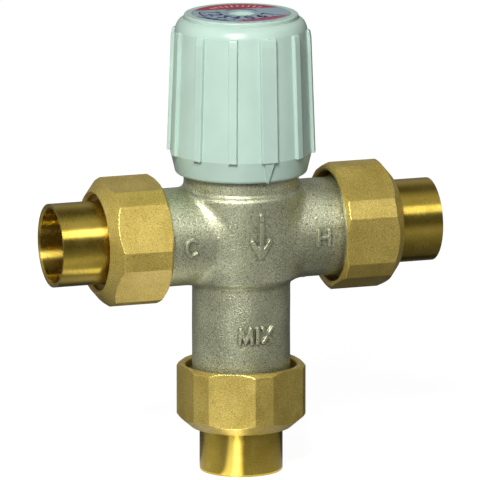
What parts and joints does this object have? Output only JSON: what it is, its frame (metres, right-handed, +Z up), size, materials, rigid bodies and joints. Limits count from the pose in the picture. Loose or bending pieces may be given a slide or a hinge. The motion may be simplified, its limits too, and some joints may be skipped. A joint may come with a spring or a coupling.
{
  "type": "thermostatic mixing valve",
  "caption": "Forged brass mixing valve with union solder sockets on its hot, cold and mixed ports, a ribbed adjusting knob on top, and a wax element and shuttle inside.",
  "frame": {"origin": "centre of the mixed outlet's open end, where the part stands", "axes": "+Z up the barrel to the knob; +X to the hot inlet, so the cold inlet is at -X; -Y is the front, with the knob's pointer and the port marks"},
  "size_m": [0.12, 0.0447, 0.1393],
  "materials": {
    "forged_body": "blasted forged brass with a thin dull nickel flash",
    "nut_brass": "matte forged brass",
    "polished_brass": "bright turned brass",
    "machined_brass": "turned brass",
    "element_brass": "dull copper-coloured brass",
    "knob_plastic": "glossy moulded plastic, pale grey-green",
    "dial_print": "printed disc",
    "engineering_plastic": "moulded plastic",
    "black_rubber": "greased rubber",
    "fibre_gasket": "pressed fibre",
    "spring_steel": "drawn stainless wire",
    "bright_steel": "bright stainless steel"
  },
  "bodies": {
    "valve": {"valve_body": "forged_body", "bonnet": "machined_brass", "bonnet_gasket": "fibre_gasket", "spring_seat": "machined_brass", "return_spring": "spring_steel"},
    "knob": {"adjusting_knob": "knob_plastic", "dial_disc": "dial_print", "knob_screw": "bright_steel", "stem": "machined_brass", "stem_oring_lower": "black_rubber", "stem_oring_upper": "black_rubber", "stem_circlip": "spring_steel"},
    "carrier": {"regulating_nut": "machined_brass", "element_piston": "bright_steel"},
    "shuttle": {"mixing_shuttle": "engineering_plastic", "shuttle_oring": "black_rubber", "wax_element": "element_brass"},
    "cold_tail": {"cold_tailpiece": "polished_brass", "cold_gasket": "fibre_gasket"},
    "cold_nut": {"cold_union_nut": "nut_brass"},
    "hot_tail": {"hot_tailpiece": "polished_brass", "hot_gasket": "fibre_gasket"},
    "hot_nut": {"hot_union_nut": "nut_brass"},
    "mix_tail": {"mix_tailpiece": "polished_brass", "mix_gasket": "fibre_gasket"},
    "mix_nut": {"mix_union_nut": "nut_brass"}
  },
  "joints": [
    {"name": "knob_turn", "type": "hinge", "parent": "valve", "child": "knob", "pos_m": [0, 0, 0.0725], "axis": [0, 0, 1], "range_deg": [-270, 270]},
    {"name": "carrier_lift", "type": "slide", "parent": "valve", "child": "carrier", "axis": [0, 0, 1], "range_m": [-0.00187, 0.00187]},
    {"name": "shuttle_slide", "type": "slide", "parent": "valve", "child": "shuttle", "axis": [0, 0, 1], "range_m": [-0.0018, 0], "stiffness_N_per_m": 2000, "springref_m": 0.004, "deforming": ["return_spring"]},
    {"name": "cold_draw", "type": "slide", "parent": "valve", "child": "cold_tail", "axis": [-1, 0, 0], "range_m": [0, 0.00866]},
    {"name": "cold_nut_turn", "type": "hinge", "parent": "cold_tail", "child": "cold_nut", "pos_m": [-0.04, 0, 0.0725], "axis": [-1, 0, 0], "range_deg": [0, 1350]},
    {"name": "hot_draw", "type": "slide", "parent": "valve", "child": "hot_tail", "axis": [1, 0, 0], "range_m": [0, 0.00866]},
    {"name": "hot_nut_turn", "type": "hinge", "parent": "hot_tail", "child": "hot_nut", "pos_m": [0.04, 0, 0.0725], "axis": [1, 0, 0], "range_deg": [0, 1350]},
    {"name": "mix_draw", "type": "slide", "parent": "valve", "child": "mix_tail", "axis": [0, 0, -1], "range_m": [0, 0.00866]},
    {"name": "mix_nut_turn", "type": "hinge", "parent": "mix_tail", "child": "mix_nut", "pos_m": [0, 0, 0], "axis": [0, 0, -1], "range_deg": [0, 1350]}
  ],
  "couplings": [
    {"joint": "carrier_lift", "follows": "knob_turn", "m_per_rad": 0.00039789},
    {"joint": "cold_draw", "follows": "cold_nut_turn", "m_per_rad": 0.00036749},
    {"joint": "hot_draw", "follows": "hot_nut_turn", "m_per_rad": 0.00036749},
    {"joint": "mix_draw", "follows": "mix_nut_turn", "m_per_rad": 0.00036749}
  ]
}
